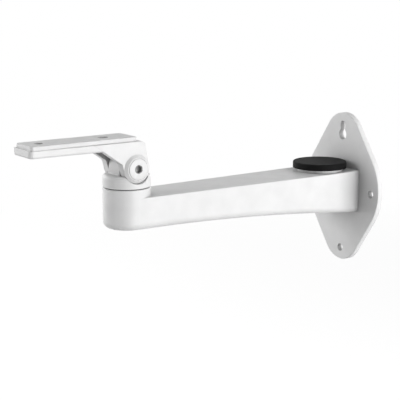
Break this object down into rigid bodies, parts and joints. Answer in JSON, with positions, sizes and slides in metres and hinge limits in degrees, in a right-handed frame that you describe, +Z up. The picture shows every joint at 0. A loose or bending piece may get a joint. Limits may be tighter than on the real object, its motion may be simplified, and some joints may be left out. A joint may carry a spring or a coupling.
{
  "type": "camera wall bracket",
  "caption": "Cast wall bracket for a security camera: wall plate, tapered arm with capped cable outlet, pan swivel and tilting platform.",
  "frame": {"origin": "on the wall face, midway between the two side screw holes", "axes": "+Z up along the wall, -Y out from the wall along the arm, +X towards the tilt screw's head"},
  "size_m": [0.103, 0.3482, 0.1444],
  "materials": {
    "white_casting": "fine-textured white powder coat on die-cast aluminium",
    "black_rubber": "moulded matt black rubber",
    "dark_nylon": "plain black nylon sheet",
    "zinc_steel": "bright zinc plate",
    "white_nylon": "moulded satin white nylon",
    "white_steel": "white painted steel, bare inside the socket"
  },
  "bodies": {
    "arm": {"arm_casting": "white_casting", "cable_cap": "black_rubber", "pan_friction_disc": "dark_nylon"},
    "swivel": {"swivel_head": "white_casting", "pan_bolt": "zinc_steel", "pan_lock_washer": "zinc_steel", "pan_washer": "zinc_steel"},
    "platform": {"camera_platform": "white_casting", "platform_pad": "white_nylon", "tilt_bolt": "white_steel", "tilt_nut": "zinc_steel", "tilt_friction_washers": "dark_nylon"}
  },
  "joints": [
    {"name": "pan", "type": "hinge", "parent": "arm", "child": "swivel", "pos_m": [0, -0.25, 0.029], "axis": [0, 0, 1], "range_deg": [-140, 140]},
    {"name": "tilt", "type": "hinge", "parent": "swivel", "child": "platform", "pos_m": [0, -0.25, 0.0458], "axis": [1, 0, 0], "range_deg": [-55, 26]}
  ]
}
